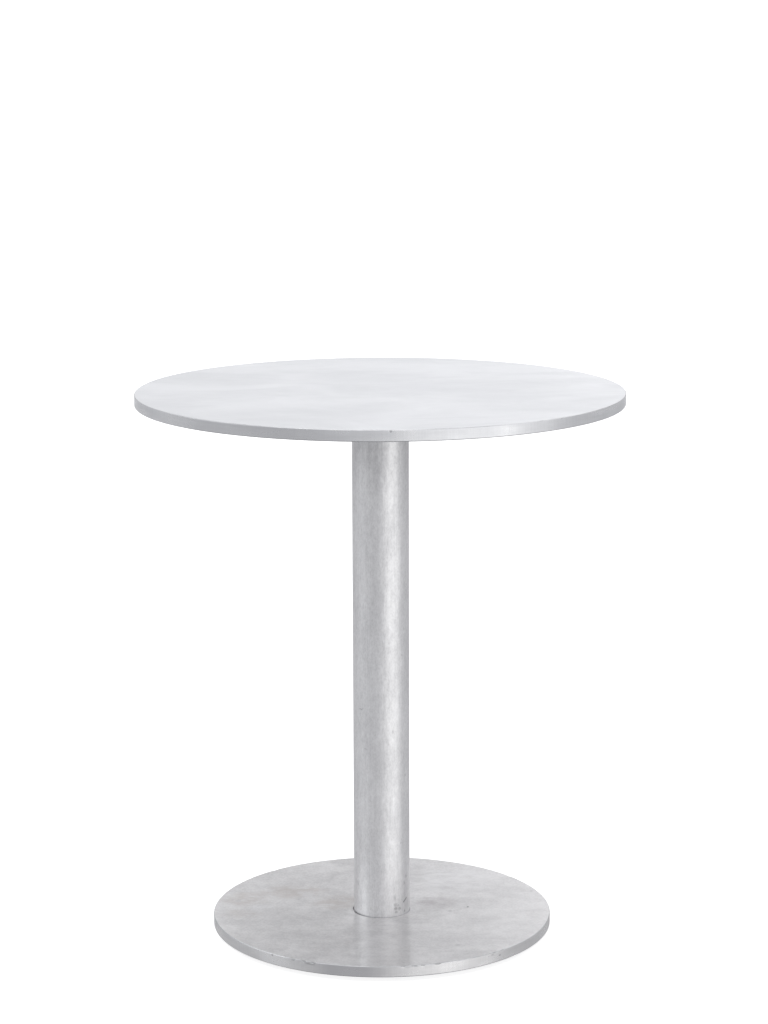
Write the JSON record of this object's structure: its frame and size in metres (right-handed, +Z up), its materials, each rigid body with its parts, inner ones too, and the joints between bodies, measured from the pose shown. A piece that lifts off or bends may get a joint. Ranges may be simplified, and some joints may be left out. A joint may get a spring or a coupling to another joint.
{
  "type": "bistro table",
  "caption": "Round pedestal table: a thick flat top on a plain tube column and a thick round base plate, clamped by a hidden tie rod and standing on levelling feet.",
  "frame": {"origin": "on the floor, on the axis of the column", "axes": "+Z up the column, +X to the right seen from the front, +Y to the back"},
  "size_m": [0.6499, 0.65, 0.74],
  "materials": {
    "bare_aluminium": "bare, satin, finely brushed, lightly marked",
    "machined_aluminium": "turned",
    "zinc_steel": "bright zinc plated",
    "black_plastic": "moulded, matt",
    "sole_rubber": "matt"
  },
  "bodies": {
    "table": {"table_top": "bare_aluminium", "base_plate": "bare_aluminium", "column_tube": "bare_aluminium", "top_flange": "machined_aluminium", "flange_screws": "zinc_steel", "flange_washers": "zinc_steel", "tie_rod": "zinc_steel", "upper_washer": "zinc_steel", "upper_nut": "zinc_steel", "lower_washer": "zinc_steel", "lower_nut": "zinc_steel", "nut_cover": "black_plastic"},
    "pad_1": {"foot_pad_1": "black_plastic", "foot_sole_1": "sole_rubber"},
    "stud_1": {"foot_stud_1": "zinc_steel"},
    "pad_2": {"foot_pad_2": "black_plastic", "foot_sole_2": "sole_rubber"},
    "stud_2": {"foot_stud_2": "zinc_steel"},
    "pad_3": {"foot_pad_3": "black_plastic", "foot_sole_3": "sole_rubber"},
    "stud_3": {"foot_stud_3": "zinc_steel"},
    "pad_4": {"foot_pad_4": "black_plastic", "foot_sole_4": "sole_rubber"},
    "stud_4": {"foot_stud_4": "zinc_steel"}
  },
  "joints": [
    {"name": "foot_1_travel", "type": "slide", "parent": "table", "child": "pad_1", "axis": [0, 0, -1], "range_m": [0, 0.005]},
    {"name": "foot_1_turn", "type": "hinge", "parent": "pad_1", "child": "stud_1", "pos_m": [0.13435, 0.13435, 0.0028], "axis": [0, 0, -1], "range_deg": [0, 1440]},
    {"name": "foot_2_travel", "type": "slide", "parent": "table", "child": "pad_2", "axis": [0, 0, -1], "range_m": [0, 0.005]},
    {"name": "foot_2_turn", "type": "hinge", "parent": "pad_2", "child": "stud_2", "pos_m": [-0.13435, 0.13435, 0.0028], "axis": [0, 0, -1], "range_deg": [0, 1440]},
    {"name": "foot_3_travel", "type": "slide", "parent": "table", "child": "pad_3", "axis": [0, 0, -1], "range_m": [0, 0.005]},
    {"name": "foot_3_turn", "type": "hinge", "parent": "pad_3", "child": "stud_3", "pos_m": [-0.13435, -0.13435, 0.0028], "axis": [0, 0, -1], "range_deg": [0, 1440]},
    {"name": "foot_4_travel", "type": "slide", "parent": "table", "child": "pad_4", "axis": [0, 0, -1], "range_m": [0, 0.005]},
    {"name": "foot_4_turn", "type": "hinge", "parent": "pad_4", "child": "stud_4", "pos_m": [0.13435, -0.13435, 0.0028], "axis": [0, 0, -1], "range_deg": [0, 1440]}
  ],
  "couplings": [
    {"joint": "foot_1_travel", "follows": "foot_1_turn", "m_per_rad": 0.00019894},
    {"joint": "foot_2_travel", "follows": "foot_2_turn", "m_per_rad": 0.00019894},
    {"joint": "foot_3_travel", "follows": "foot_3_turn", "m_per_rad": 0.00019894},
    {"joint": "foot_4_travel", "follows": "foot_4_turn", "m_per_rad": 0.00019894}
  ]
}
